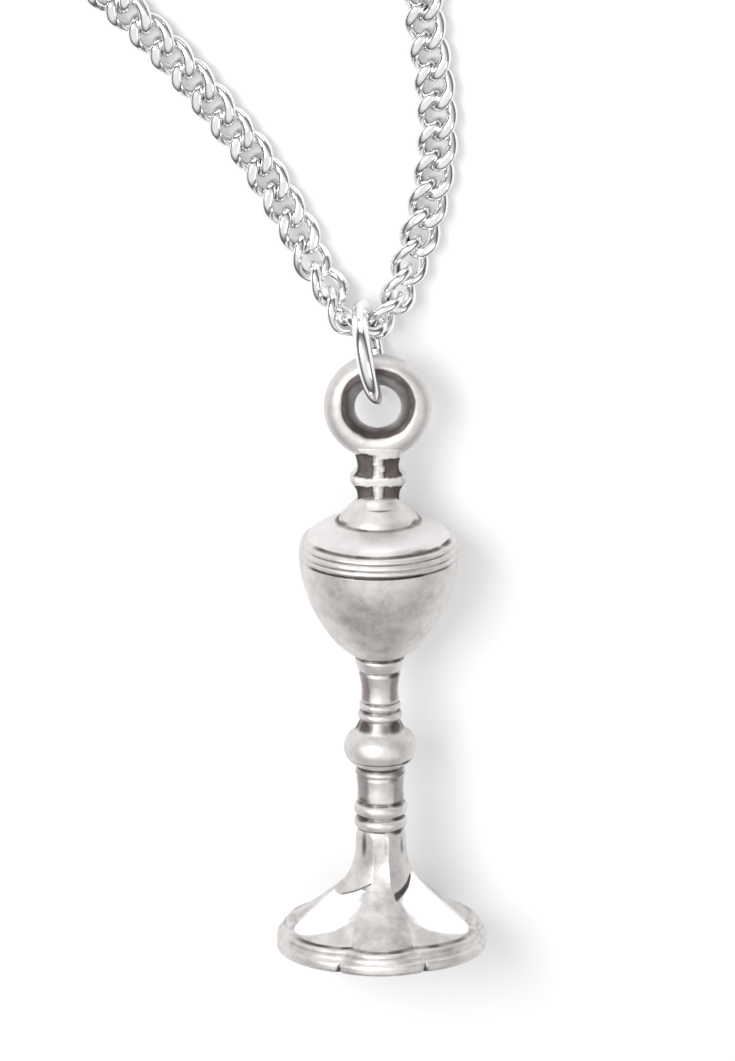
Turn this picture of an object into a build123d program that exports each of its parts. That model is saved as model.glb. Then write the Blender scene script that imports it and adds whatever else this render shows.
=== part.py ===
"""Ciborium pendant on its neck chain, lying on its back on a table. Millimetres, +Z up."""

import os
from math import asin, cos, degrees, pi, radians, sin, sqrt

from build123d import *

# ---------------------------------------------------------------- driving dimensions
# The casting: a small solid-silver ciborium, 28 mm from the foot's underside to the top of its eye.
FOOT_NOTCH_R = 4.72  # foot outline at the six notches between its lobes
FOOT_CREST_R = 4.90  # foot outline at the middle of a lobe
FRONT_LOBE_HALF_ANGLE = 25.5  # the front and back lobes are a little narrower than the side ones
CUP_R = 3.62
CUP_WIDEST_S = 18.5  # height of the widest point of the cup above the foot's underside
EYE_CENTRE_S = 25.55
EYE_MAJOR_R = 1.74
EYE_WIRE_R = 0.70
NECK_DEPTH = 1.50  # front to back of the neck that carries the cross
CROSS_RELIEF = 0.22  # depth of the four recesses round the cross

# The casting rests on one lobe of its foot and on the cup, so its axis dips towards the eye.
RIM_TOP_S = 0.40
AXIS_DIP = degrees(asin((FOOT_CREST_R - CUP_R) / (CUP_WIDEST_S - 0.5 * RIM_TOP_S)))
FOOT_Y = -14.95  # foot's underside, along the table

# The jump ring that joins the casting to the chain, leaning a little and turned about the vertical.
JUMP_WIRE_R = 0.37
JUMP_R = 2.08
JUMP_NORMAL = Vector(0.977, 0.200, 0.074)
JUMP_CENTRE = Vector(-0.34, 12.87, JUMP_R * sqrt(1 - JUMP_NORMAL.Z**2) + JUMP_WIRE_R)

# The curb chain: 457 mm from clasp to catch ring, links of round wire twisted to lie flat.
CHAIN_LENGTH = 457.0
CHAIN_WIDTH = 1.90
LINK_WIRE = 0.50
LINK_PITCH = 1.42
LINK_HALF_LENGTH = 1.00  # of the wire's centre line
LINK_HALF_WIDTH = (CHAIN_WIDTH - LINK_WIRE) / 2
LINK_TWIST = 0.90  # radians from the link's middle to each end
CHAIN_Z = 0.60  # chain's middle above the table

# The chain bends through the jump ring and rolls over as it does. One row per link:
# x, y, z of its middle, then its heading, slope and roll in degrees.
BEND_LINKS = [
    (-5.62, 21.83, 0.60, -59, 2, 2),
    (-4.90, 20.62, 0.63, -60, 2, 6),
    (-4.22, 19.39, 0.68, -62, 3, 12),
    (-3.56, 18.16, 0.77, -62, 5, 20),
    (-3.01, 16.89, 0.87, -69, 11, 31),
    (-2.30, 15.75, 1.17, -56, 7, 49),
    (-1.79, 14.55, 1.44, -57, 30, 84),
    (-0.73, 13.96, 1.87, 3, 23, 117),
    (0.39, 14.43, 1.65, 56, -19, 121),
    (1.09, 15.52, 1.27, 70, -18, 138),
    (1.56, 16.76, 0.94, 70, -13, 153),
    (1.98, 18.07, 0.78, 75, -7, 164),
    (2.31, 19.42, 0.68, 78, -4, 172),
    (2.58, 20.80, 0.62, 81, -3, 176),
    (2.74, 22.20, 0.60, 86, -2, 179),
]
# The two strands go on from there, flat on the table, to the coil: x, y, z.
LEFT_STRAND = [
    (-7.95, 25.08, CHAIN_Z),
    (-9.73, 27.18, CHAIN_Z),
    (-11.55, 29.09, CHAIN_Z),
    (-14.30, 31.90, CHAIN_Z),
    (-17.45, 35.70, CHAIN_Z),
]
RIGHT_STRAND = [
    (2.74, 24.20, CHAIN_Z),
    (2.45, 26.45, CHAIN_Z),
    (2.10, 28.75, CHAIN_Z),
    (2.10, 32.35, 0.95),
    (3.30, 36.90, 1.55),
]

# The length past the strands is wound into one round coil, two layers of three turns.
COIL_CENTRE = (-8.0, 44.50)
COIL_INNER_R = 7.60
COIL_OUTER_R = 13.60
COIL_HEIGHT = 2.50

# The spring ring clasp lies inside the coil, closed on the chain's catch ring.
CLASP_CENTRE = Vector(-7.05, 45.50, 1.08)
CLASP_R = 2.15
CLASP_TUBE_R = 0.58
CLASP_BORE_R = 0.40
BOLT_R = 0.36
CLASP_GAP = (60, 120)  # degrees about the clasp's centre
BOLT_SPAN = (20, 128)
BOLT_TRAVEL = 66
TAB_AT = 40
TAB_THICK = 0.24
EYELET_R = 0.62
EYELET_WIRE_R = 0.20
CLASP_RING_R = 1.00
CLASP_RING_WIRE_R = 0.20
CATCH_RING_R = 1.25
CATCH_RING_WIRE_R = 0.22
CATCH_RING_AT = -50
EYELET_AT = 180

parts = {}


# ---------------------------------------------------------------- the casting, upright
def lobed_outline(s, notch_r, middle_r, front=FRONT_LOBE_HALF_ANGLE):
    """A closed outline of six arcs at height s, from notch to notch; the front faces -Y."""
    edges = []
    ends = [front, 90, 180 - front, 180 + front, 270, 360 - front]

    def at(angle, r):
        return (r * sin(radians(angle)), -r * cos(radians(angle)), s)

    for k in range(6):
        a, b = ends[k], ends[(k + 1) % 6] + (360 if k == 5 else 0)
        edges.append(ThreePointArc(at(a, notch_r), at((a + b) / 2, middle_r), at(b, notch_r)))
    return Face(Wire(edges))


def foot():
    """Stepped rim, six lobed facets rising to a shoulder, and a waisted facetted neck."""
    n, c = FOOT_NOTCH_R, FOOT_CREST_R
    rim = loft([lobed_outline(0, n - 0.08, c - 0.08), lobed_outline(0.12, n, c)], ruled=True)
    rim += loft([lobed_outline(0.12, n, c), lobed_outline(0.40, n, c)], ruled=True)
    rim += loft([lobed_outline(0.40, n, c), lobed_outline(0.50, n - 0.10, c - 0.08)], ruled=True)
    rim += loft([lobed_outline(0.45, n - 0.26, c - 0.14), lobed_outline(0.72, n - 0.36, c - 0.18)])
    rim += loft([lobed_outline(0.68, n - 0.56, c - 0.28), lobed_outline(0.93, n - 0.72, c - 0.36)])
    plate = loft(
        [
            lobed_outline(0.86, 3.78, 4.34, 21.3),
            lobed_outline(1.12, 3.66, 4.10, 21.5),
            lobed_outline(1.60, 3.20, 3.42, 23),
            lobed_outline(2.20, 2.56, 2.62, 19.6),
            lobed_outline(2.98, 1.79, 1.75, 15.8),
        ]
    )
    waist = loft(
        [
            lobed_outline(2.96, 1.78, 1.74, 15.8),
            lobed_outline(3.50, 1.43, 1.36, 16),
            lobed_outline(4.20, 1.20, 1.13, 16.8),
            lobed_outline(5.02, 1.13, 1.06, 17.2),
            lobed_outline(5.62, 1.07, 1.04, 18),
        ]
    )
    hollow = Cylinder(3.3, 0.45, align=(Align.CENTER, Align.CENTER, Align.MIN))
    hollow = chamfer(hollow.faces().sort_by(Axis.Z)[-1].edges(), 0.3)
    body = rim + plate + waist - hollow
    nick = Plane.XZ * Polygon((-0.17, -0.01), (0.17, -0.01), (0, 0.42), align=None)
    nick = Pos(0, -n + 0.12, 0) * extrude(nick, amount=0.5)
    for angle in (
        FRONT_LOBE_HALF_ANGLE,
        90,
        180 - FRONT_LOBE_HALF_ANGLE,
        180 + FRONT_LOBE_HALF_ANGLE,
        270,
        -FRONT_LOBE_HALF_ANGLE,
    ):
        body -= Rot(0, 0, angle) * nick
    return body


def bead(s, half_height, root_r, crest_r):
    """One rounded collar of the stem, as profile edges going up."""
    return ThreePointArc(
        (root_r, 0, s - half_height), (crest_r, 0, s), (root_r, 0, s + half_height)
    )


def turned_body():
    """Stem with its collars and knop, the cup, its grooved rim and the stepped lid."""
    stem = [
        Line((0, 0, 4.4), (0.98, 0, 4.4)),
        Line((0.98, 0, 4.4), (1.02, 0, 5.60)),
        bead(5.86, 0.26, 1.02, 1.20),
        Line((1.02, 0, 6.12), (1.00, 0, 6.24)),
        bead(6.52, 0.28, 1.00, 1.23),
        Line((1.00, 0, 6.80), (0.98, 0, 6.88)),
        Line((0.98, 0, 6.88), (1.07, 0, 6.96)),
        ThreePointArc((1.07, 0, 6.96), (1.05, 0, 7.50), (1.11, 0, 8.00)),
        Line((1.11, 0, 8.00), (1.06, 0, 8.12)),
        bead(8.27, 0.15, 1.06, 1.16),
        Line((1.06, 0, 8.42), (1.04, 0, 8.50)),
        Line((1.04, 0, 8.50), (1.22, 0, 8.64)),
        ThreePointArc((1.22, 0, 8.64), (1.66, 0, 9.34), (1.24, 0, 10.10)),
        Line((1.24, 0, 10.10), (1.14, 0, 10.24)),
        Line((1.14, 0, 10.24), (0.90, 0, 10.76)),
        bead(10.95, 0.19, 0.90, 1.01),
        Line((0.90, 0, 11.14), (0.88, 0, 11.26)),
        bead(11.40, 0.14, 0.88, 0.95),
        Line((0.88, 0, 11.54), (0.86, 0, 11.62)),
        ThreePointArc((0.86, 0, 11.62), (0.83, 0, 12.20), (0.97, 0, 12.98)),
        Line((0.97, 0, 12.98), (0.92, 0, 13.06)),
        ThreePointArc((0.92, 0, 13.06), (1.05, 0, 13.34), (1.12, 0, 13.62)),
        Line((1.12, 0, 13.62), (1.04, 0, 13.74)),
    ]
    cup = Spline(
        (1.04, 0, 13.74),
        (1.46, 0, 14.00),
        (2.34, 0, 14.90),
        (3.02, 0, 16.10),
        (3.46, 0, 17.40),
        (CUP_R, 0, CUP_WIDEST_S - 0.08),
        tangents=((1.0, 0, 0.55), (0.02, 0, 1.0)),
    )
    rim = []
    last = cup @ 1
    for s, r in ((18.50, CUP_R), (18.80, 3.60), (19.10, 3.52)):
        # a fine engraved line at each height
        rim += [
            Line(last, (r, 0, s - 0.06)) if (last - Vector(r, 0, s - 0.06)).length > 1e-3 else None,
            Line((r, 0, s - 0.06), (r - 0.09, 0, s)),
            Line((r - 0.09, 0, s), (r - 0.01, 0, s + 0.06)),
        ]
        last = Vector(r - 0.01, 0, s + 0.06)
    lid = [
        Line(last, (3.40, 0, 19.36)),
        Line((3.40, 0, 19.36), (3.24, 0, 19.38)),
        ThreePointArc((3.24, 0, 19.38), (2.68, 0, 19.86), (1.92, 0, 20.20)),
        Line((1.92, 0, 20.20), (1.80, 0, 20.22)),
        ThreePointArc((1.80, 0, 20.22), (1.48, 0, 20.66), (1.05, 0, 21.15)),
        Line((1.05, 0, 21.15), (0, 0, 21.15)),
        Line((0, 0, 21.15), (0, 0, 4.4)),
    ]
    profile = Face(Wire([*stem, cup, *[e for e in rim if e], *lid]))
    return revolve(profile, Axis.Z)


def neck():
    """Flat neck with a raised cross on both faces; the ends of its arms stand proud at the sides."""
    right = [
        Line((0, 20.70), (1.00, 20.70)),
        ThreePointArc((1.00, 20.70), (0.93, 21.40), (1.05, 21.86)),
        ThreePointArc((1.05, 21.86), (1.30, 22.16), (1.05, 22.46)),
        ThreePointArc((1.05, 22.46), (0.90, 22.90), (1.12, 23.80)),
        Line((1.12, 23.80), (0, 23.80)),
        Line((0, 23.80), (0, 20.70)),
    ]
    half = extrude(Plane.XZ * Face(Wire(right)), amount=NECK_DEPTH / 2, both=True)
    plate = half + mirror(half, Plane.YZ)
    for side in (-1, 1):
        y = side * (NECK_DEPTH / 2 - CROSS_RELIEF / 2)
        for x, s, half_w, half_h in (
            (0.66, 21.57, 0.42, 0.36),
            (0.66, 22.78, 0.42, 0.36),
        ):
            for mirrored in (-1, 1):
                cutter = Box(2 * half_w, CROSS_RELIEF + 0.001, 2 * half_h)
                plate -= Pos(mirrored * x, y, s) * cutter
    return plate


def casting():
    eye = Pos(0, 0, EYE_CENTRE_S) * (Rot(90, 0, 0) * Torus(EYE_MAJOR_R, EYE_WIRE_R))
    upright = foot() + turned_body() + neck() + eye
    lying = upright.rotate(Axis.X, -(90 + AXIS_DIP))
    return Pos(0, FOOT_Y, -lying.bounding_box().min.Z) * lying


# ---------------------------------------------------------------- rings, links and the clasp
def ring(centre, major_r, wire_r, normal):
    return Plane(origin=centre, z_dir=normal) * Torus(major_r, wire_r)


def link_point(angle):
    """The wire's centre line: an oval along X, twisted about X by opposite amounts at its ends."""
    turn = LINK_TWIST * cos(angle)
    return Vector(
        LINK_HALF_LENGTH * cos(angle),
        LINK_HALF_WIDTH * sin(angle) * cos(turn),
        LINK_HALF_WIDTH * sin(angle) * sin(turn),
    )


def half_link(start):
    step = 1e-4
    angles = [start + pi * k / 4 for k in range(5)]
    ends = [(link_point(a + step) - link_point(a - step)).normalized() for a in (angles[0], angles[-1])]
    path = Spline(*[link_point(a) for a in angles], tangents=ends)
    return sweep(Plane(origin=path @ 0, z_dir=path % 0) * Circle(LINK_WIRE / 2), path=path)


def link_frame(centre, along, roll):
    """A link's frame: x along the chain, z square to the link's flat side."""
    across = Vector(0, 0, 1).cross(along).normalized()
    up = along.cross(across).normalized()
    normal = up * cos(radians(roll)) + across * sin(radians(roll))
    return Plane(origin=centre, x_dir=along, z_dir=normal)


def bend_frames():
    frames = []
    for x, y, z, heading, slope, roll in BEND_LINKS:
        h, e = radians(heading), radians(slope)
        along = Vector(cos(h) * cos(e), sin(h) * cos(e), sin(e))
        frames.append(link_frame(Vector(x, y, z), along, roll))
    return frames


def strand_frames(start, heading, points):
    """Links a pitch apart along a smooth strand, out to where it joins the coil."""
    h = radians(heading)
    path = Spline(start, *[Vector(*p) for p in points], tangents=(Vector(cos(h), sin(h)), Vector(0, 1)))
    frames, here, u = [], start, 0.0
    while u < 1:
        if (path.position_at(u) - here).length >= LINK_PITCH:
            here = path.position_at(u)
            if (here - Vector(*COIL_CENTRE, here.Z)).length < COIL_OUTER_R + LINK_HALF_LENGTH:
                break
            frames.append(link_frame(here, path.tangent_at(u), 0))
        u += 0.0005
    return frames


def coil():
    """The outer shape of the wound-up chain."""
    outer = Cylinder(COIL_OUTER_R, COIL_HEIGHT, align=(Align.CENTER, Align.CENTER, Align.MIN))
    inner = Cylinder(COIL_INNER_R, COIL_HEIGHT, align=(Align.CENTER, Align.CENTER, Align.MIN))
    return Pos(*COIL_CENTRE, 0) * (outer - inner)


def around(angle, radius, z=0.0):
    """A point at an angle and radius about the clasp's centre."""
    return CLASP_CENTRE + Vector(radius * cos(radians(angle)), radius * sin(radians(angle)), z)


def tube_arc(radius, start, end):
    """A round bar of the given radius bent round the clasp's centre line."""
    section = Plane(origin=around(start, CLASP_R), z_dir=(-sin(radians(start)), cos(radians(start)), 0))
    axis = Axis(CLASP_CENTRE, (0, 0, 1))
    return revolve(section * Circle(radius), axis, end - start)


def clasp_housing():
    """The hollow tube of the spring ring, with a slot for the thumb tab and a small eyelet."""
    start, end = CLASP_GAP[1], CLASP_GAP[0] + 360
    tube = tube_arc(CLASP_TUBE_R, start, end) - tube_arc(CLASP_BORE_R, start - 1, end + 1)
    slot_start, slot_end = TAB_AT - BOLT_TRAVEL - 6, TAB_AT + 6
    section = Plane(
        origin=around(slot_start, CLASP_R + 0.55),
        z_dir=(-sin(radians(slot_start)), cos(radians(slot_start)), 0),
        x_dir=(cos(radians(slot_start)), sin(radians(slot_start)), 0),
    )
    turn = Axis(CLASP_CENTRE, (0, 0, 1))
    slot = revolve(section * Rectangle(0.8, TAB_THICK + 0.10), turn, slot_end - slot_start)
    eyelet_at = around(EYELET_AT, CLASP_R + CLASP_TUBE_R + EYELET_R + 0.07)
    eyelet = Pos(*eyelet_at) * Torus(EYELET_R, EYELET_WIRE_R)
    return tube - slot + eyelet


def clasp_bolt():
    """The sliding bar that closes the gap, with the tab the thumb pulls."""
    bar = tube_arc(BOLT_R, *BOLT_SPAN)
    tab = Rot(0, 0, TAB_AT) * Box(0.95, 0.62, TAB_THICK, align=(Align.MIN, Align.CENTER, Align.CENTER))
    tab = fillet(tab.edges().filter_by(Axis.Z).sort_by(lambda e: e.center().length)[-2:], 0.2)
    return bar + Pos(*around(TAB_AT, CLASP_R + 0.15)) * tab


parts["ciborium_casting"] = casting()
parts["pendant_jump_ring"] = ring(JUMP_CENTRE, JUMP_R, JUMP_WIRE_R, JUMP_NORMAL)

link = half_link(pi / 2) + half_link(3 * pi / 2)
bend = bend_frames()
left = strand_frames(bend[0].origin, BEND_LINKS[0][3] + 180, LEFT_STRAND)
right = strand_frames(bend[-1].origin, BEND_LINKS[-1][3], RIGHT_STRAND)
frames = left[::-1] + bend + right
for number, frame in enumerate(frames, 1):
    parts[f"chain_link_{number:02d}"] = frame * link

parts["chain_coil"] = coil()
parts["clasp_housing"] = clasp_housing()
parts["clasp_bolt"] = clasp_bolt()
eyelet_r = CLASP_R + CLASP_TUBE_R + EYELET_R + 0.07
parts["clasp_ring"] = ring(
    around(EYELET_AT, eyelet_r + CLASP_RING_R, CLASP_RING_R + CLASP_RING_WIRE_R - CLASP_CENTRE.Z),
    CLASP_RING_R,
    CLASP_RING_WIRE_R,
    (0, 1, 0),
)
a = radians(CATCH_RING_AT)
parts["catch_ring"] = ring(
    around(CATCH_RING_AT, CLASP_R + 0.08, CATCH_RING_R + CATCH_RING_WIRE_R - CLASP_CENTRE.Z),
    CATCH_RING_R,
    CATCH_RING_WIRE_R,
    (-sin(a), cos(a), 0),
)
print("links", len(left), len(bend), len(right), "dip", round(AXIS_DIP, 3))
print("chain: width", CHAIN_WIDTH, "half", round(CHAIN_WIDTH / 2, 3), "length", CHAIN_LENGTH)

os.makedirs("parts", exist_ok=True)
for name, solid in parts.items():
    export_step(solid, f"parts/{name}.step")
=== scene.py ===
import math
import random

import bmesh
import bpy
import numpy as np
from mathutils import Matrix, Vector, noise


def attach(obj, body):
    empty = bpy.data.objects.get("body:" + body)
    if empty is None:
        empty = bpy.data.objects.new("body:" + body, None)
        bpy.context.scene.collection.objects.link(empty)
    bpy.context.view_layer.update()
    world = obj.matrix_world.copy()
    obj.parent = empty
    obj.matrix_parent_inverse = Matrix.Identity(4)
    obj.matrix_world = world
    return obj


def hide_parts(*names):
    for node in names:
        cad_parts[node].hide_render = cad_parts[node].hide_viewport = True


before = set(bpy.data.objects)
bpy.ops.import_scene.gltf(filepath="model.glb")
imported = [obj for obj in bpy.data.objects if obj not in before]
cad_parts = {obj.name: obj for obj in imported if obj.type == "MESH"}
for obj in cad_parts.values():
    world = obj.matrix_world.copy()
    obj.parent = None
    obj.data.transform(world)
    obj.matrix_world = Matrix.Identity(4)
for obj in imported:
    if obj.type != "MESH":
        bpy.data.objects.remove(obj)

MM = 0.001
scene = bpy.context.scene
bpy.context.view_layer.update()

# ---------------------------------------------------------------- the casting's place, in millimetres
DIP = math.radians(4.0108)  # the axis slopes down towards the eye; foot and cup rest on the table
FOOT = Vector((0.0, -14.95, 4.916))  # middle of the foot's underside


def lie(x, y, s):
    """A point of the upright casting (front at -Y, s up from the foot's underside) where it lies."""
    return (
        x * MM,
        (FOOT.y - y * math.sin(DIP) + s * math.cos(DIP)) * MM,
        (FOOT.z - y * math.cos(DIP) - s * math.sin(DIP)) * MM,
    )


# ---------------------------------------------------------------- objects
def add_object(name, data):
    obj = bpy.data.objects.new(name, data)
    scene.collection.objects.link(obj)
    return obj


def object_from(name, bm):
    """A new object with bm as its mesh; bm is used up."""
    me = bpy.data.meshes.new(name)
    bm.to_mesh(me)
    bm.free()
    return add_object(name, me)


# ---------------------------------------------------------------- camera, looking down from far off
CAM_TILT = math.radians(21.788)
CAM_ROLL = math.radians(0.43)
CAM_DISTANCE = 1000
VIEW_HEIGHT = 48.23  # what the longer side of the picture takes in, at the target
TARGET_UP, TARGET_ACROSS = 18.73, -0.505  # from the foot's underside
SENSOR = 36


def place_camera():
    up = Vector((0, math.cos(CAM_TILT), -math.sin(CAM_TILT)))
    back = Vector((0, math.sin(CAM_TILT), math.cos(CAM_TILT)))
    target = FOOT + TARGET_UP * up + Vector((TARGET_ACROSS, 0, 0))
    cam_up = up * math.cos(CAM_ROLL) + Vector((1, 0, 0)) * math.sin(CAM_ROLL)
    cam_right = cam_up.cross(back)
    cam = add_object("camera", bpy.data.cameras.new("camera"))
    m = Matrix((cam_right, cam_up, back)).transposed().to_4x4()
    m.translation = (target + CAM_DISTANCE * back) * MM
    cam.matrix_world = m
    cam.data.sensor_width = SENSOR
    cam.data.lens = SENSOR * CAM_DISTANCE / VIEW_HEIGHT
    cam.data.clip_start = 0.01
    cam.data.clip_end = 10
    scene.camera = cam


place_camera()


# ---------------------------------------------------------------- node helpers
def material(name):
    mat = bpy.data.materials.new(name)
    mat.use_nodes = True
    nt = mat.node_tree
    return mat, nt, nt.nodes["Principled BSDF"]


def node(nt, kind, **props):
    n = nt.nodes.new(kind)
    for k, v in props.items():
        if k.startswith("in_"):
            n.inputs[k[3:].replace("_", " ")].default_value = v
        else:
            setattr(n, k, v)
    return n


def ramp(nt, src, *stops):
    r = nt.nodes.new("ShaderNodeValToRGB")
    while len(r.color_ramp.elements) < len(stops):
        r.color_ramp.elements.new(0.5)
    for e, (p, c) in zip(r.color_ramp.elements, stops):
        e.position = p
        e.color = (c, c, c, 1) if isinstance(c, float) else (*c, 1)
    nt.links.new(src, r.inputs[0])
    return r.outputs["Color"]


def noise_tex(nt, coord, scale, detail=4.0, rough=0.5):
    n = node(nt, "ShaderNodeTexNoise", in_Scale=scale, in_Detail=detail, in_Roughness=rough)
    nt.links.new(coord, n.inputs["Vector"])
    return n.outputs["Fac"]


def mix_colour(nt, fac, a, b):
    mx = node(nt, "ShaderNodeMix", data_type="RGBA")
    nt.links.new(fac, mx.inputs[0])
    for i, v in ((6, a), (7, b)):
        if isinstance(v, tuple):
            mx.inputs[i].default_value = (*v, 1)
        else:
            nt.links.new(v, mx.inputs[i])
    return mx.outputs[2]


def bump(nt, bsdf, height, strength, distance):
    b = node(nt, "ShaderNodeBump", in_Strength=strength, in_Distance=distance)
    nt.links.new(height, b.inputs["Height"])
    nt.links.new(b.outputs["Normal"], bsdf.inputs["Normal"])


def bright_silver(name, seed):
    """Bright polished silver with faint handling marks; seed shifts the haze from piece to piece."""
    mat, nt, bsdf = material(name)
    tc = nt.nodes.new("ShaderNodeTexCoord").outputs["Object"]
    fine = noise_tex(nt, tc, 2600.0, 3.0, 0.55)
    haze = noise_tex(nt, tc, 420.0 + seed, 3.0, 0.6)
    bsdf.inputs["Metallic"].default_value = 1.0
    colour = ramp(nt, haze, (0.3, (0.80, 0.80, 0.81)), (0.7, (0.90, 0.90, 0.905)))
    nt.links.new(colour, bsdf.inputs["Base Color"])
    nt.links.new(ramp(nt, haze, (0.3, 0.09), (0.7, 0.16)), bsdf.inputs["Roughness"])
    bump(nt, bsdf, fine, 0.12, 0.00002)
    return mat


# ---------------------------------------------------------------- the casting
def bead_rows(s, half, root, crest, n=8):
    """A rounded bead as (s, r): its middle height, half its height, and its radius at foot and crest."""
    out = []
    for i in range(n + 1):
        u = -1 + 2 * i / n
        out.append((s + half * u, root + (crest - root) * math.sqrt(max(0.0, 1 - u * u)) ** 1.2))
    return out


def curve_rows(pts, n):
    """Points of a smooth line through pts, as (s, r)."""
    p = [Vector((b, a)) for a, b in pts]
    p = [p[0] * 2 - p[1]] + p + [p[-1] * 2 - p[-2]]
    out = []
    for k in range(1, len(p) - 2):
        for i in range(n):
            t = i / n
            a, b, c, d = p[k - 1:k + 3]
            bend = 2 * a - 5 * b + 4 * c - d
            twist = 3 * b - a - 3 * c + d
            q = 0.5 * (2 * b + (c - a) * t + bend * t * t + twist * t ** 3)
            out.append((q.y, q.x))
    return out + [(p[-2].y, p[-2].x)]


def groove(s, r, depth, half=0.055):
    """An engraved line round the body, as (s, r)."""
    steep, near = half * 0.4, r - depth * 0.8
    return [(s - half, r), (s - steep, near), (s, r - depth), (s + steep, near), (s + half, r)]


# foot rows: height, radius at the notches, radius at the middle of a lobe, half-angle of the front lobe
FOOT_ROWS = [
    (0.0, 4.62, 4.80, 24.8), (0.05, 4.69, 4.87, 24.8), (0.12, 4.72, 4.90, 24.8), (0.19, 4.72, 4.90, 24.8),
    (0.26, 4.72, 4.90, 24.8), (0.32, 4.72, 4.90, 24.8), (0.38, 4.71, 4.89, 24.8),
    (0.46, 4.66, 4.85, 24.5), (0.50, 4.60, 4.80, 24.0), (0.53, 4.50, 4.74, 23.8),
    (0.62, 4.46, 4.73, 23.5), (0.71, 4.38, 4.70, 23.0), (0.75, 4.26, 4.62, 22.6), (0.84, 4.20, 4.60, 22.2),
    (0.92, 4.10, 4.55, 22.0), (0.96, 3.98, 4.47, 21.6), (0.97, 3.78, 4.29, 21.3), (1.02, 3.78, 4.27, 21.2),
    (1.12, 3.68, 4.12, 21.5), (1.22, 3.58, 3.96, 22.0), (1.35, 3.46, 3.76, 22.6), (1.48, 3.32, 3.57, 23.0),
    (1.60, 3.19, 3.41, 23.0), (1.75, 3.02, 3.20, 22.8), (1.90, 2.86, 3.00, 22.2), (2.05, 2.71, 2.81, 21.0),
    (2.20, 2.56, 2.62, 19.6), (2.40, 2.34, 2.38, 18.4), (2.60, 2.13, 2.13, 17.3), (2.80, 1.94, 1.92, 16.4),
    (2.97, 1.79, 1.75, 15.8), (3.00, 1.75, 1.71, 15.8), (3.15, 1.64, 1.58, 15.8), (3.35, 1.51, 1.44, 16.0),
    (3.55, 1.41, 1.33, 16.2), (3.80, 1.31, 1.23, 16.5), (4.10, 1.21, 1.13, 16.8), (4.50, 1.16, 1.08, 17.0),
    (4.90, 1.14, 1.06, 17.2), (5.30, 1.12, 1.05, 17.5), (5.50, 1.06, 1.04, 18.0),
]
# the turned body above the foot, as height and radius
TURNED = (
    [(5.56, 1.00)] + bead_rows(5.86, 0.26, 1.03, 1.20) + [(6.15, 0.99), (6.20, 0.99)]
    + bead_rows(6.52, 0.28, 1.04, 1.22) + [(6.83, 0.99), (6.88, 0.99)]
    + curve_rows([(6.95, 1.07), (7.25, 1.06), (7.60, 1.05), (8.02, 1.10)], 5) + [(8.10, 1.06)]
    + bead_rows(8.27, 0.13, 1.07, 1.15, 6) + [(8.44, 1.03), (8.50, 1.02), (8.55, 1.05)]
    + curve_rows([(8.64, 1.22), (8.76, 1.36), (8.88, 1.47)], 3) + [(8.93, 1.47)]
    + curve_rows([(8.98, 1.55), (9.34, 1.655), (9.75, 1.59), (10.02, 1.42), (10.16, 1.24)], 5)
    + curve_rows([(10.20, 1.17), (10.40, 1.05), (10.72, 0.90)], 3) + bead_rows(10.95, 0.18, 0.90, 1.01)
    + [(11.16, 0.85), (11.22, 0.85)] + bead_rows(11.40, 0.13, 0.88, 0.94, 6) + [(11.56, 0.82), (11.60, 0.82)]
    + curve_rows([(11.66, 0.865), (12.00, 0.83), (12.40, 0.85), (12.95, 0.96)], 6)
    + [(13.02, 0.90), (13.08, 0.91)]
    + curve_rows([(13.14, 0.98), (13.36, 1.06), (13.62, 1.12)], 3) + [(13.68, 1.07), (13.74, 1.02)]
    + curve_rows([(13.79, 1.10), (14.00, 1.46), (14.40, 1.92), (14.90, 2.34), (15.50, 2.72), (16.10, 3.03),
                  (16.75, 3.28), (17.40, 3.47), (18.00, 3.58), (18.42, 3.62)], 5)
    + groove(18.50, 3.62, 0.10) + [(18.66, 3.63)] + groove(18.80, 3.61, 0.05) + [(18.95, 3.59)]
    + groove(19.10, 3.54, 0.05) + [(19.24, 3.50), (19.33, 3.44), (19.37, 3.33), (19.40, 3.24)]
    + curve_rows([(19.44, 3.21), (19.66, 3.00), (19.86, 2.70), (20.04, 2.34), (20.17, 1.95)], 5)
    + [(20.20, 1.84), (20.23, 1.80)]
    + curve_rows([(20.27, 1.78), (20.46, 1.66), (20.68, 1.46), (20.90, 1.25), (21.10, 1.08),
                  (21.30, 0.96)], 4)
    + [(21.40, 0.80), (21.46, 0.45), (21.47, 0.02)]
)
# where the points lie across one lobe, from one notch (0) to the next (1), closest at the notches
LOBE_STEPS = (
    [0, 0.012, 0.028, 0.05, 0.08, 0.12] + [0.16 + 0.034 * i for i in range(21)]
    + [0.88, 0.92, 0.95, 0.972, 0.988]
)


def step(a, b, x):
    """0 below a, 1 above b, and smooth between them."""
    t = min(1.0, max(0.0, (x - a) / (b - a)))
    return t * t * (3 - 2 * t)


# a dark line runs all the way round, fades before the sides, or is strongest there, its extra darkness at
# the sides being painted shade
ROUND, FADING, SIDES = range(3)
# dark lines round the turned body: height, half-width, strength, how they run round it
LINES = [
    (5.57, 0.06, 0.75, ROUND), (6.17, 0.085, 0.95, SIDES), (6.86, 0.085, 0.85, SIDES),
    (8.49, 0.085, 0.95, ROUND), (8.92, 0.045, 0.75, ROUND), (10.55, 0.27, 0.92, SIDES),
    (11.19, 0.075, 0.85, SIDES), (11.58, 0.05, 0.65, ROUND), (13.05, 0.05, 0.45, ROUND),
    (13.74, 0.10, 0.95, ROUND), (18.50, 0.065, 1.00, FADING), (18.80, 0.036, 0.62, FADING),
    (19.10, 0.036, 0.66, FADING), (19.40, 0.055, 0.85, FADING), (20.21, 0.050, 0.80, ROUND),
]
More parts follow.
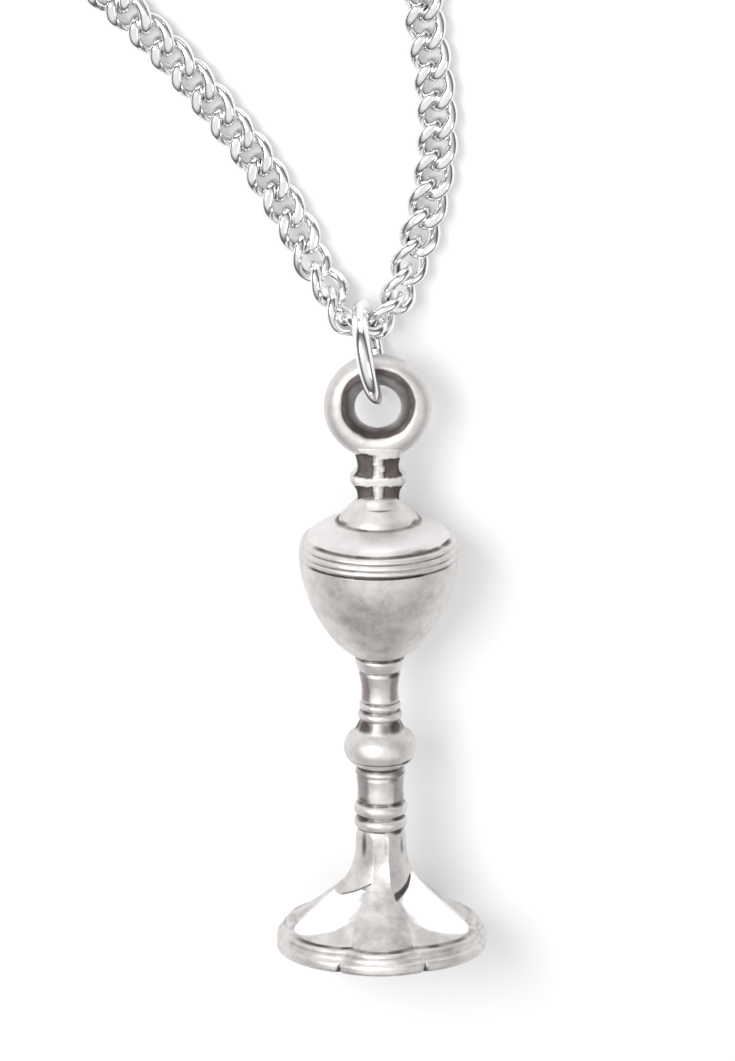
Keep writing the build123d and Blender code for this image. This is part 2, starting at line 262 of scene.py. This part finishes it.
# darker spots: height, angle round from the front in degrees, half-height, half-angle, strength
SPOTS = [
    (12.96, 48, 0.14, 24, 0.95), (13.02, -60, 0.10, 22, 0.6), (8.92, 52, 0.10, 16, 0.95),
    (8.30, 50, 0.22, 26, 0.65), (6.17, -52, 0.16, 24, 1.0), (5.56, 50, 0.16, 20, 1.0),
    (6.86, 50, 0.13, 26, 0.95), (8.05, 38, 0.16, 20, 0.6), (7.05, -50, 0.20, 22, 0.7),
    (4.95, -46, 0.60, 9, 0.75), (4.85, 62, 0.50, 9, 0.55), (4.9, 12, 0.5, 6, 0.4),
    (17.6, -38, 0.34, 6, 0.22), (19.41, 70, 0.06, 12, 0.9), (20.25, 66, 0.12, 14, 0.7),
    (20.25, -64, 0.12, 14, 0.7), (19.46, 34, 0.10, 10, 0.6), (10.6, 48, 0.26, 26, 0.95),
    (10.6, -48, 0.26, 26, 0.95), (11.19, -48, 0.09, 22, 0.9), (20.95, 4, 0.05, 28, 0.8),
]


def shoulder(deg):
    """Height at which the foot's bright lobes end against the waist, round from the front."""
    return float(np.interp(deg, (-90, -66, -42, -16, 16, 21, 45, 68, 90),
                           (2.60, 2.62, 2.92, 3.32, 2.75, 2.80, 3.10, 3.42, 3.45)))


def wrapped(degrees):
    """The same angle from -180 to 180, where 0 is the front."""
    return (degrees + 180) % 360 - 180


def dark_patina_and_painted_shade(s, theta):
    """How dark with patina the casting is at this height and angle, 0 clean to 1, with painted shade added
    down the sides of the stem and in lines that darken towards the sides.
    """
    side = abs(math.sin(theta))
    v = 0.0
    for s0, half, strength, kind in LINES:
        g = math.exp(-(((s - s0) / half) ** 4)) * strength
        if kind == FADING:
            g *= 1 - step(0.80, 0.95, side)
        elif kind == SIDES:
            # painted shade: lines of this kind darken towards the sides
            g *= 0.72 + 0.28 * step(0.3, 0.7, side)
        v = max(v, g * (0.62 + 0.38 * step(-0.35, 0.25, noise.noise(Vector((theta * 2.2, s0 * 3.1, 0.3))))))
    deg = wrapped(math.degrees(theta))
    for s0, a0, hs, ha, strength in SPOTS:
        d = wrapped(deg - a0)
        v = max(v, strength * math.exp(-(((s - s0) / hs) ** 2 + (d / ha) ** 2) ** 1.5))
    # painted shade: the stem is darker towards its sides, less so at the very edge
    if 11.6 < s < 12.98:
        v = max(v, 0.50 * step(0.42, 0.66, side) * (1 - 0.75 * step(0.86, 0.99, side)) * step(11.6, 11.8, s))
    if 6.9 < s < 8.5:
        v = max(v, 0.42 * step(0.42, 0.62, side) * (1 - 0.6 * step(0.9, 1.0, side)))
    if 0.5 < s < 0.985:  # the rim's fine lines
        for s0, w in ((0.515, 0.35), (0.735, 0.55)):
            v = max(v, w * math.exp(-(((s - s0) / 0.03) ** 2)))
        v = max(v, math.exp(-(((s - 0.972) / 0.028) ** 2)) * (0.95 - 0.60 * step(42, 75, abs(deg))))
        v *= 0.55 + 0.45 * step(-0.4, 0.2, noise.noise(Vector((theta * 6, s * 3, 1.7))))
    if 0.985 <= s < 1.12:
        v = max(v, 0.35 * (1 - step(0.985, 1.12, s)))
    if 2.4 < s < 3.7:
        line, d = shoulder(deg), abs(deg)
        if -70 < deg < -15:
            edge = math.exp(-(((s - line) / 0.045) ** 2))
            v = max(v, 0.85 * edge * step(15, 18, d) * (1 - step(58, 68, d)))
        if 15 < deg < 76:
            wide = float(np.interp(deg, (20, 30, 70), (0.17, 0.13, 0.06)))
            v = max(v, math.exp(-(((s - line) / wide) ** 4)) * step(16, 20, d) * (1 - step(66, 74, d)))
    return min(1.0, v)


def grey_tone_and_painted_shade(s, theta):
    """How grey and mottled the clean silver is here, 0 pale to 1; painted shade makes the cup, the foot and
    the waist greyer at the front, which faces the camera, and the lid's slope is paler as a painted
    highlight.
    """
    c = max(0.0, math.cos(theta))
    if 13.8 < s < 18.45:
        return 0.25 + 0.75 * step(0.35, 0.95, c) * step(13.9, 14.8, s) * (1 - 0.55 * step(17.6, 18.4, s))
    if s < 2.98:
        return 0.75 if abs(math.degrees(theta)) < 26 else 0.15
    if 2.98 <= s < 5.5:
        return 0.55 if abs(math.degrees(theta)) < 17 else 0.25
    if 19.4 < s < 20.2:
        return 0.0
    return 0.30


def closed_grid(bm, rows, layer, info):
    """Rows of rings of points joined into a closed skin; info holds the attribute values."""
    made = []
    for row, vals in zip(rows, info):
        ring = []
        for p, val in zip(row, vals):
            v = bm.verts.new(p)
            v[layer] = val
            ring.append(v)
        made.append(ring)
    n = len(made[0])
    for a, b in zip(made, made[1:]):
        for j in range(n):
            bm.faces.new((a[j], a[(j + 1) % n], b[(j + 1) % n], b[j])).smooth = True
    bm.faces.new(list(reversed(made[0])))
    bm.faces.new(made[-1])


def cast_skin(x, y, s, amount=0.010):
    """A little unevenness, as a casting has."""
    q = Vector((x, y, s))
    return amount * noise.noise(q * 1.6) + amount * 0.6 * noise.noise(q * 4.1)


def lobe_radius(n_r, m_r, half, phi):
    """A lobe's outline: an arc through two notches at n_r, half an angle away, and its middle at m_r."""
    d = (m_r * m_r - n_r * n_r) / (2 * (m_r - n_r * math.cos(half)))
    big = m_r - d
    return d * math.cos(phi) + math.copysign(math.sqrt(max(0.0, big * big - (d * math.sin(phi)) ** 2)), big)


# the hollow under the foot, from its middle out, in the terms of FOOT_ROWS
HOLLOW_ROWS = [
    (0.45, 0.05, 0.05, 24.8), (0.45, 2.9, 2.9, 24.8), (0.30, 3.15, 3.15, 24.8), (0.12, 3.30, 3.30, 24.8),
    (0.0, 3.34, 3.34, 24.8),
]
FOOT_ROW_GAP = 0.045
NICK_HEIGHT, NICK_HALF_WIDTH, NICK_DEPTH = 0.45, 0.19, 0.12
TURNED_HALF_ANGLE = 18.0  # only spaces the points of the turned rows, which have no lobes


def fine_foot_rows():
    """FOOT_ROWS with more rows between them above the rim, where the lobes curve."""
    out = []
    for a, b in zip(FOOT_ROWS, FOOT_ROWS[1:]):
        parts = max(1, math.ceil((b[0] - a[0]) / FOOT_ROW_GAP)) if a[0] >= 1.0 else 1
        out += [tuple(p + (q - p) * i / parts for p, q in zip(a, b)) for i in range(parts)]
    return out + [FOOT_ROWS[-1]]


def painted_facet_highlight(s, deg):
    """Painted highlight: how bright the foot's facets each side of the grey front one are painted, 0 to 1.
    """
    if not 0.99 < s < 3.6:
        return 0.0
    low = float(np.interp(s, (0.99, 1.2, 1.5, 1.9, 2.5, 2.97), (66, 52, 37, 27, 23.5, 23)))
    bright = step(low - 1.0, low + 4.0, abs(deg)) * (1 - step(83, 96, abs(deg)))
    return bright * (1 - step(-0.03, 0.03, s - shoulder(deg)))


def painted_light_and_patina_values(s, theta, nick, inside):
    """The attribute's values on the body: patina with painted shade, grey tone with painted shade, painted
    highlight.
    """
    # painted highlight: the foot's facets each side of the front one are painted near white
    painted_highlight = painted_facet_highlight(s, wrapped(math.degrees(theta)))
    if inside:
        patina = 0.5
    else:
        # patina in the recesses, with painted shade added at the stem's sides
        patina = max(dark_patina_and_painted_shade(s, theta), 0.97 * nick)
        if s < 5.5:  # a thin veil of painted shade darkens the foot, except on its facets with the painted highlight
            patina = max(patina, (0.17 if s < 1.0 or s > 3.0 else 0.24) * (1 - painted_highlight))
    if 19.43 < s < 20.17:  # the lid's slope gets a painted highlight
        painted_highlight = 0.25
    return patina, grey_tone_and_painted_shade(s, theta), painted_highlight, 1.0


def add_body(bm, layer):
    """The lobed foot, the stem, the knop, the cup and the lid as one skin."""
    rows, info = [], []
    stations = HOLLOW_ROWS + fine_foot_rows() + [(s, r, r, TURNED_HALF_ANGLE) for s, r in TURNED]
    for k, (s, n_r, m_r, front) in enumerate(stations):
        inside = k < len(HOLLOW_ROWS)
        row, vals = [], []
        ends = [-front, front, 90, 180 - front, 180 + front, 270, 360 - front]
        for lobe in range(6):
            a, b = math.radians(ends[lobe]), math.radians(ends[lobe + 1])
            half = (b - a) / 2
            for u in LOBE_STEPS:
                theta = a + (b - a) * u
                phi = theta - (a + b) / 2
                r = n_r if abs(n_r - m_r) < 1e-6 else lobe_radius(n_r, m_r, half, phi)
                nick = 0.0
                if not inside and s < NICK_HEIGHT:
                    near = min(u, 1 - u) * (b - a) * r
                    nick = 1 - step(0.35, 1.0, near / (NICK_HALF_WIDTH * (1 - s / NICK_HEIGHT) + 1e-6))
                    r -= NICK_DEPTH * nick
                x, y = r * math.sin(theta), -r * math.cos(theta)
                amount = cast_skin(x, y, s) if not inside and r > 0.3 else 0.0
                x, y = x * (1 + amount / r), y * (1 + amount / r)
                row.append(lie(x, y, s))
                vals.append(painted_light_and_patina_values(s, theta, nick, inside))
        rows.append(row)
        info.append(vals)
    closed_grid(bm, rows, layer, info)


NECK_LOW, NECK_HIGH, NECK_ROWS, NECK_SIDES = 20.80, 23.75, 75, 112
NECK_HALF_DEPTH, CROSS_RAISED = 0.75, 0.20
# half the neck's width by height
NECK_WIDTHS = [
    (20.80, 1.00), (21.10, 0.98), (21.40, 0.95), (21.70, 1.00), (21.90, 1.12), (22.04, 1.26), (22.16, 1.29),
    (22.28, 1.26), (22.42, 1.12), (22.62, 0.98), (22.85, 0.94), (23.10, 0.98), (23.40, 1.06), (23.75, 1.12),
]


def add_neck(bm, layer):
    """The flat neck; its front and back are sunk and dark round a raised cross."""
    rows, info = [], []
    for i in range(NECK_ROWS):
        s = NECK_LOW + (NECK_HIGH - NECK_LOW) * i / (NECK_ROWS - 1)
        w = float(np.interp(s, *zip(*NECK_WIDTHS)))
        row, vals = [], []
        for j in range(NECK_SIDES):
            a = 2 * math.pi * j / NECK_SIDES
            ca, sa = math.cos(a), math.sin(a)
            x = w * math.copysign(abs(ca) ** 0.62, ca)
            y = NECK_HALF_DEPTH * math.copysign(abs(sa) ** 0.42, sa)
            wob = 0.09 * noise.noise(Vector((x * 2.6, y, s * 2.6)))
            wob += 0.04 * noise.noise(Vector((x * 8, y, s * 8)))
            beside = step(0.19 + wob, 0.255 + wob, abs(x + 0.01)) * (1 - step(w - 0.05, w, abs(x)) * 0.4)
            above = step(22.33 + wob, 22.40 + wob, s)
            above *= 1 - step(23.38 + wob, 23.48 + wob, s + 0.18 * (x > 0))
            below = step(21.02 + wob, 21.10 + wob, s) * (1 - step(21.92 + wob, 21.99 + wob, s))
            sunk = beside * max(above, below) * step(0.30, 0.5, abs(y))
            y *= 1 - CROSS_RAISED / NECK_HALF_DEPTH * sunk
            y += cast_skin(x, y, s)
            row.append(lie(x, y, s))
            vals.append((min(1.0, 0.92 * sunk), 0.25, 0.0, 1.0))
        rows.append(row)
        info.append(vals)
    closed_grid(bm, rows, layer, info)


EYE_RADIUS, EYE_WIRE, EYE_HEIGHT = 1.74, 0.70, 25.55  # EYE_WIRE is the radius of its section
EYE_ROUND, EYE_SECTION = 180, 64
DARK_CENTRE = 0.30  # how far above the eye's own middle the dark inner half is centred


def add_eye(bm, layer):
    """The eye: a pale outer band, and an inner half dark with patina."""
    rows = []
    for i in range(EYE_ROUND):
        a = 2 * math.pi * i / EYE_ROUND
        row = []
        for j in range(EYE_SECTION):
            b = 2 * math.pi * j / EYE_SECTION
            rho = EYE_RADIUS + EYE_WIRE * math.cos(b)
            away = math.hypot(rho * math.sin(a), rho * math.cos(a) - DARK_CENTRE)
            away += 0.05 * noise.noise(Vector((math.sin(a) * 3, math.cos(a) * 3, 0.5)))
            inner = 1 - step(1.63, 1.75, away)
            r = EYE_WIRE * (1 - 0.055 * inner * step(0.35, 0.6, abs(math.sin(b))))
            rho = EYE_RADIUS + r * math.cos(b)
            x, s, y = rho * math.sin(a), EYE_HEIGHT + rho * math.cos(a), r * math.sin(b)
            y += cast_skin(x, y, s)
            v = bm.verts.new(lie(x, y, s))
            # two stretches of the dark half are paler
            pale = 0.45 * math.exp(-(wrapped(math.degrees(a) - 150) / 40) ** 2)
            pale += 0.30 * math.exp(-(wrapped(math.degrees(a) - 215) / 35) ** 2)
            dark = inner * (0.90 - (0.52 + pale) * (1 - step(1.10, 1.52, away)))
            v[layer] = (min(1.0, max(0.0, dark)), 0.12, 0.0, 1.0)
            row.append(v)
        rows.append(row)
    for i in range(EYE_ROUND):
        q, t = rows[i], rows[(i + 1) % EYE_ROUND]
        for j in range(EYE_SECTION):
            k = (j + 1) % EYE_SECTION
            bm.faces.new((q[j], q[k], t[k], t[j])).smooth = True


def build_casting():
    bm = bmesh.new()
    layer = bm.verts.layers.float_color.new("patina_and_painted_light")
    add_body(bm, layer)
    add_neck(bm, layer)
    add_eye(bm, layer)
    bmesh.ops.recalc_face_normals(bm, faces=bm.faces)
    return object_from("ciborium", bm)


# clean silver's colours across the cloudy noise: where the tone is 0, and where it is 1; the greyer colour
# stands partly for painted shade on the faces turned to the camera
PALE = ((0.63, 0.608, 0.598), (0.75, 0.727, 0.717))
GREY_AND_PAINTED_SHADE = ((0.55, 0.525, 0.515), (0.70, 0.673, 0.662), (0.80, 0.773, 0.762))


def antiqued_silver():
    """Satin silver, dark with patina in the recesses and with painted shade down the stem's sides and over
    the foot, greyer and mottled with painted shade where it faces the camera, and near white with a painted
    highlight on the foot's side facets and the lid.
    """
    mat, nt, bsdf = material("antiqued_silver")
    tc = nt.nodes.new("ShaderNodeTexCoord").outputs["Object"]
    att = node(nt, "ShaderNodeAttribute", attribute_name="patina_and_painted_light")
    parts = nt.nodes.new("ShaderNodeSeparateColor")
    nt.links.new(att.outputs["Color"], parts.inputs[0])

    def maths(op, a, b):
        n = node(nt, "ShaderNodeMath", operation=op, use_clamp=True)
        for i, v in enumerate((a, b)):
            if isinstance(v, float):
                n.inputs[i].default_value = v
            else:
                nt.links.new(v, n.inputs[i])
        return n.outputs[0]

    blotch = noise_tex(nt, tc, 900.0, 5.0, 0.62)
    cloud = noise_tex(nt, tc, 1100.0, 5.0, 0.68)
    fine = noise_tex(nt, tc, 3200.0, 4.0, 0.6)
    # clean silver: pale where the tone is 0, greyer and cloudier where it is 1, the grey standing partly for
    # painted shade
    pale = ramp(nt, cloud, (0.30, PALE[0]), (0.70, PALE[1]))
    grey = ramp(nt, cloud, (0.34, GREY_AND_PAINTED_SHADE[0]), (0.50, GREY_AND_PAINTED_SHADE[1]), (0.66, GREY_AND_PAINTED_SHADE[2]))
    clean = mix_colour(nt, parts.outputs[1], pale, grey)
    # painted highlight: where the attribute's third value says, the clean colour goes near white
    clean = mix_colour(nt, parts.outputs[2], clean, (0.97, 0.97, 0.965))
    # patina eats in unevenly: its edge follows the blotches
    spread = maths("MULTIPLY", ramp(nt, blotch, (0.3, 0.0), (0.7, 1.0)), 0.30)
    ragged = maths("ADD", parts.outputs[0], spread)
    edge = ramp(nt, ragged, (0.30, 0.0), (0.62, 0.55), (0.95, 1.0))
    dark = ramp(nt, blotch, (0.35, (0.085, 0.070, 0.067)), (0.65, (0.180, 0.156, 0.152)))
    colour = mix_colour(nt, edge, clean, dark)
    nt.links.new(colour, bsdf.inputs["Base Color"])
    bsdf.inputs["Metallic"].default_value = 1.0
    rough = ramp(nt, fine, (0.3, 0.48), (0.7, 0.58))
    smooth = ramp(nt, fine, (0.3, 0.10), (0.7, 0.15))
    rough = mix_colour(nt, parts.outputs[2], rough, smooth)
    nt.links.new(mix_colour(nt, edge, rough, (0.55, 0.55, 0.55)), bsdf.inputs["Roughness"])
    bump(nt, bsdf, blotch, 0.22, 0.00006)
    return mat


ciborium = build_casting()
ciborium.data.materials.append(antiqued_silver())
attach(ciborium, "pendant")
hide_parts("ciborium_casting")

# ---------------------------------------------------------------- the chain's route, as in the CAD
CHAIN_Z = 0.60
# the links of the bend through the jump ring: middle, heading, slope and roll in degrees
BEND_LINKS = [
    (-5.62, 21.83, 0.60, -59, 2, 2),
    (-4.90, 20.62, 0.63, -60, 2, 6),
    (-4.22, 19.39, 0.68, -62, 3, 12),
    (-3.56, 18.16, 0.77, -62, 5, 20),
    (-3.01, 16.89, 0.87, -69, 11, 31),
    (-2.30, 15.75, 1.17, -56, 7, 49),
    (-1.79, 14.55, 1.44, -57, 30, 84),
    (-0.73, 13.96, 1.87, 3, 23, 117),
    (0.39, 14.43, 1.65, 56, -19, 121),
    (1.09, 15.52, 1.27, 70, -18, 138),
    (1.56, 16.76, 0.94, 70, -13, 153),
    (1.98, 18.07, 0.78, 75, -7, 164),
    (2.31, 19.42, 0.68, 78, -4, 172),
    (2.58, 20.80, 0.62, 81, -3, 176),
    (2.74, 22.20, 0.60, 86, -2, 179),
]
MIDDLE = 7  # the link that hangs in the jump ring
LEFT_STRAND = [
    (-7.95, 25.08, CHAIN_Z), (-9.73, 27.18, CHAIN_Z), (-11.55, 29.09, CHAIN_Z),
    (-14.30, 31.90, CHAIN_Z), (-17.45, 35.70, CHAIN_Z),
]
RIGHT_STRAND = [
    (2.74, 24.20, CHAIN_Z), (2.45, 26.45, CHAIN_Z), (2.10, 28.75, CHAIN_Z),
    (2.10, 32.35, 0.95), (3.30, 36.90, 1.55),
]
COIL = (-8.0, 44.50)
PITCH, LINK_A, LINK_B, LINK_TWIST, WIRE = 1.42, 1.00, 0.70, 0.90, 0.57
LINK_FLAT = 0.49  # the faces are cut off this far above and below a link's middle
WIRE_IN_RING = 0.49  # the few links that the jump ring passes, which need their clearance
LINK_ROLL = 7  # how far links lie tilted at random, in degrees


def turns(start, sense, radius, spacing, cycles, z):
    """The coil's turns: each holds its radius, then steps inward over its last fifth."""
    out = []
    n = int(cycles * 16)
    for i in range(1, n + 1):
        t = i / 16
        k, f = int(t), t - int(t)
        g = max(0.0, (f - 0.78) / 0.22)
        r = radius - spacing * (k + g * g * (3 - 2 * g))
        a = math.radians(start + sense * 360 * t)
        wob = 0.05 * math.sin(5.3 * t + 1.0)
        out.append((COIL[0] + (r + wob) * math.cos(a), COIL[1] + (r + wob) * math.sin(a), z))
    return out


left_route = [p[:3] for p in BEND_LINKS[MIDDLE::-1]] + LEFT_STRAND
left_route += turns(222.7, -1, 12.62, 1.95, 2.8, CHAIN_Z)
left_route += [(-9.6, 36.4, CHAIN_Z), (-12.2, 38.0, CHAIN_Z), (-13.9, 40.4, CHAIN_Z), (-14.3, 43.0, 0.7),
               (-13.7, 44.8, 0.9), (-12.75, 45.5, 1.2)]
right_route = [p[:3] for p in BEND_LINKS[MIDDLE:]] + RIGHT_STRAND
right_route += turns(-31, 1, 12.68, 1.95, 2.72, 1.64)
right_route += [(-8.6, 36.1, 1.64), (-6.0, 36.5, 1.60), (-3.5, 37.8, 1.4), (-2.1, 39.9, 1.2),
                (-2.7, 41.9, 1.1), (-4.55, 42.5, 1.2)]


def spline_points(name, control):
    """The route's own NURBS line, read back as points in millimetres."""
    curve = bpy.data.curves.new(name, "CURVE")
    curve.dimensions = "3D"
    curve.resolution_u = 10
    spline = curve.splines.new("NURBS")
    spline.points.add(len(control) - 1)
    for point, place in zip(spline.points, control):
        point.co = (*place, 1)
    spline.order_u = 3
    spline.use_endpoint_u = True
    obj = add_object(name, curve)
    bpy.context.view_layer.update()
    me = bpy.data.meshes.new_from_object(obj)
    pts = np.array([v.co[:] for v in me.vertices])
    bpy.data.objects.remove(obj)
    bpy.data.curves.remove(curve)
    bpy.data.meshes.remove(me)
    return pts


# ---------------------------------------------------------------- curb links
def link_template(wire, n_path=44, n_section=14):
    """One twisted link with its upper and lower faces cut flat, as arrays of points and quads."""
    def line(t):
        w = LINK_TWIST * math.cos(t)
        b = LINK_B * math.sin(t)
        return np.array([LINK_A * math.cos(t), b * math.cos(w), b * math.sin(w)])

    verts, quads = [], []
    for i in range(n_path):
        t = 2 * math.pi * i / n_path
        here = line(t)
        d = line(t + 1e-4) - line(t - 1e-4)
        d /= np.linalg.norm(d)
        e = np.cross(d, [0, 0, 1.0])
        if np.linalg.norm(e) < 1e-6:
            e = np.array([1.0, 0, 0])
        e /= np.linalg.norm(e)
        f = np.cross(e, d)
        for j in range(n_section):
            a = 2 * math.pi * j / n_section
            p = here + wire / 2 * (math.cos(a) * e + math.sin(a) * f)
            z = p[2]
            if abs(z) > LINK_FLAT:
                p[2] = math.copysign(LINK_FLAT + 0.10 * (abs(z) - LINK_FLAT), z)
            verts.append(p)
    for i in range(n_path):
        this, following = i * n_section, (i + 1) % n_path * n_section
        for j in range(n_section):
            k = (j + 1) % n_section
            quads.append((this + j, following + j, following + k, this + k))
    return np.array(verts), np.array(quads)


TEMPLATES = (link_template(WIRE), link_template(WIRE_IN_RING))


def frame_of(centre, along, roll):
    """A link's frame: its middle, its length, its width and its upper face's direction."""
    along = along / np.linalg.norm(along)
    across = np.cross([0, 0, 1.0], along)
    across /= np.linalg.norm(across)
    upward = np.cross(along, across)
    normal = upward * math.cos(roll) + across * math.sin(roll)
    return centre, along, np.cross(normal, along), normal


def bend_frame(row):
    x, y, z, heading, slope, roll = row
    h, e = math.radians(heading), math.radians(slope)
    along = np.array([math.cos(h) * math.cos(e), math.sin(h) * math.cos(e), math.sin(e)])
    return frame_of(np.array([x, y, z]), along, math.radians(roll))


WALK_STEP = 0.02
LOOK_AHEAD, LOOK_ROUND = 200, 35  # in steps: further than a pitch, and about half a pitch


def walk(points, start, rng):
    """Frames of links a pitch apart along points, from the one nearest to start."""
    s = np.concatenate([[0], np.cumsum(np.linalg.norm(np.diff(points, axis=0), axis=1))])
    fine = np.arange(0, s[-1], WALK_STEP)
    pts = np.stack([np.interp(fine, s, points[:, k]) for k in range(3)], 1)
    i = int(np.argmin(np.linalg.norm(pts - start, axis=1)))
    here, out = pts[i], []
    while True:
        ahead = np.linalg.norm(pts[i:i + LOOK_AHEAD] - here, axis=1)
        over = np.nonzero(ahead >= PITCH)[0]
        if len(over) == 0:
            return out
        i += int(over[0])
        here = pts[i]
        a, b = pts[max(0, i - LOOK_ROUND)], pts[min(len(pts) - 1, i + LOOK_ROUND)]
        out.append(frame_of(here, b - a, math.radians(rng.uniform(-LINK_ROLL, LINK_ROLL))))


def chain_piece(name, frames, mat, thin):
    """One strand with a link at each frame; those numbered in thin have the thinner wire."""
    quads = TEMPLATES[0][1]
    verts = []
    for k, (c, x, y, n) in enumerate(frames):
        link = TEMPLATES[k in thin][0]
        verts.append(c + link[:, :1] * x + link[:, 1:2] * y + link[:, 2:] * n)
    faces = np.concatenate([quads + k * len(verts[0]) for k in range(len(frames))])
    verts = np.concatenate(verts)
    me = bpy.data.meshes.new(name)
    me.from_pydata((verts * MM).tolist(), [], faces.tolist())
    me.polygons.foreach_set("use_smooth", [True] * len(me.polygons))
    me.materials.append(mat)
    me.update()
    return add_object(name, me)


CAD_LINKS = sorted(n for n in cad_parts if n.startswith("chain_link_"))
LEFT_COUNT = 8 + MIDDLE + 1  # links 1 to 16 lie on the left, counting the one in the ring
THIN_LEFT, THIN_RIGHT = range(MIDDLE - 3, MIDDLE + 1), range(0, 3)
rng = random.Random(5)
chain_mat = bright_silver("chain_silver", 0)
left_line = spline_points("left_line", left_route)
right_line = spline_points("right_line", right_route)
left_frames = [bend_frame(r) for r in BEND_LINKS[:MIDDLE + 1]]
left_frames += walk(left_line, np.array(BEND_LINKS[0][:3]), rng)
right_frames = [bend_frame(r) for r in BEND_LINKS[MIDDLE + 1:]]
right_frames += walk(right_line, np.array(BEND_LINKS[-1][:3]), rng)
chain_left = chain_piece("chain_left", left_frames, chain_mat, THIN_LEFT)
chain_right = chain_piece("chain_right", right_frames, chain_mat, THIN_RIGHT)
for obj in (chain_left, chain_right):
    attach(obj, "chain")
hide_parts(*CAD_LINKS[:LEFT_COUNT], "chain_coil")
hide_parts(*CAD_LINKS[LEFT_COUNT:])

# ---------------------------------------------------------------- jump ring
JUMP_R, JUMP_WIRE = 2.08, 0.37
JUMP_N = Vector((0.977, 0.200, 0.074)).normalized()
JUMP_C = Vector((-0.34, 12.87, JUMP_R * math.sqrt(1 - JUMP_N.z ** 2) + JUMP_WIRE))


def seam(a):
    """A hair-thin closing line at one place on the ring, below where it shows."""
    d = abs((a - 4.4 + math.pi) % (2 * math.pi) - math.pi)
    return 1.0 - 0.06 * math.exp(-((d / 0.03) ** 2))


def wire_ring(name, centre, normal, radius, wire, n_round, n_section):
    """A closed ring of round wire, thinned a little at its seam; wire is the radius of its section."""
    turn = normal.to_track_quat("Z", "Y")
    bm = bmesh.new()
    rows = []
    for i in range(n_round):
        a = 2 * math.pi * i / n_round
        row = []
        for j in range(n_section):
            b = 2 * math.pi * j / n_section
            r = wire * seam(a)
            out = radius + r * math.cos(b)
            p = Vector((out * math.cos(a), out * math.sin(a), r * math.sin(b)))
            row.append(bm.verts.new((centre + turn @ p) * MM))
        rows.append(row)
    for i in range(n_round):
        here, following = rows[i], rows[(i + 1) % n_round]
        for j in range(n_section):
            k = (j + 1) % n_section
            bm.faces.new((here[j], following[j], following[k], here[k])).smooth = True
    return object_from(name, bm)


ring_mat = bright_silver("ring_silver", 37)
jump = wire_ring("jump_ring", JUMP_C, JUMP_N, JUMP_R, JUMP_WIRE, 160, 36)
jump.data.materials.append(ring_mat)
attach(jump, "jump_ring")
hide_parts("pendant_jump_ring")

# ---------------------------------------------------------------- clasp and small rings
small_mat = bright_silver("clasp_silver", 80)
for name in ("clasp_housing", "clasp_bolt", "clasp_ring", "catch_ring"):
    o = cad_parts[name]
    o.data.materials.clear()
    o.data.materials.append(small_mat)

# ---------------------------------------------------------------- floor and light, in metres
FLOOR_HALF, FLOOR_Z = 1.2, -0.00001


def build_floor():
    """White paper that glows a little, so that it stays white round the soft shadow."""
    bm = bmesh.new()
    bmesh.ops.create_grid(bm, x_segments=8, y_segments=8, size=FLOOR_HALF)
    floor = object_from("floor", bm)
    floor.location.z = FLOOR_Z
    mat, nt, bsdf = material("paper")
    tc = nt.nodes.new("ShaderNodeTexCoord").outputs["Object"]
    nt.links.new(ramp(nt, noise_tex(nt, tc, 60.0), (0.3, 0.70), (0.7, 0.72)), bsdf.inputs["Base Color"])
    bsdf.inputs["Emission Color"].default_value = (1, 1, 1, 1)
    bsdf.inputs["Emission Strength"].default_value = 0.24
    bsdf.inputs["Roughness"].default_value = 0.9
    bsdf.inputs["Specular IOR Level"].default_value = 0.0
    floor.data.materials.append(mat)
    return floor


floor = build_floor()


def build_world():
    """A studio: bright at the horizon and overhead, with a dark band between for the silver to reflect."""
    world = bpy.data.worlds.new("studio")
    scene.world = world
    world.use_nodes = True
    nt = world.node_tree
    background = nt.nodes["Background"]
    tc = nt.nodes.new("ShaderNodeTexCoord").outputs["Generated"]
    sep = nt.nodes.new("ShaderNodeSeparateXYZ")
    nt.links.new(tc, sep.inputs[0])
    stops = ((0.0, 1.0), (0.07, 0.85), (0.18, 0.20), (0.40, 0.11), (0.62, 0.55), (0.86, 1.0))
    sky = ramp(nt, sep.outputs["Z"], *stops)
    nt.links.new(sky, background.inputs["Color"])
    background.inputs["Strength"].default_value = 0.95


build_world()


def area(name, place, aim, size, power, size_y=None):
    """A square area light, or an oblong one with size_y, that points at aim."""
    data = bpy.data.lights.new(name, "AREA")
    data.energy = power
    data.size = size
    if size_y:
        data.shape = "RECTANGLE"
        data.size_y = size_y
    obj = add_object(name, data)
    obj.location = place
    obj.rotation_euler = (Vector(aim) - Vector(place)).to_track_quat("-Z", "Y").to_euler()


area("key", (-0.16, 0.14, 0.30), (0, 0.0, 0), 0.20, 1.0)
area("fill", (0.25, -0.05, 0.25), (0, 0.0, 0), 0.2, 0.12)
area("card", (0.0, 0.42, 0.09), (0, 0.0, 0.005), 0.30, 0.30, 0.12)

scene.view_settings.view_transform = "Standard"
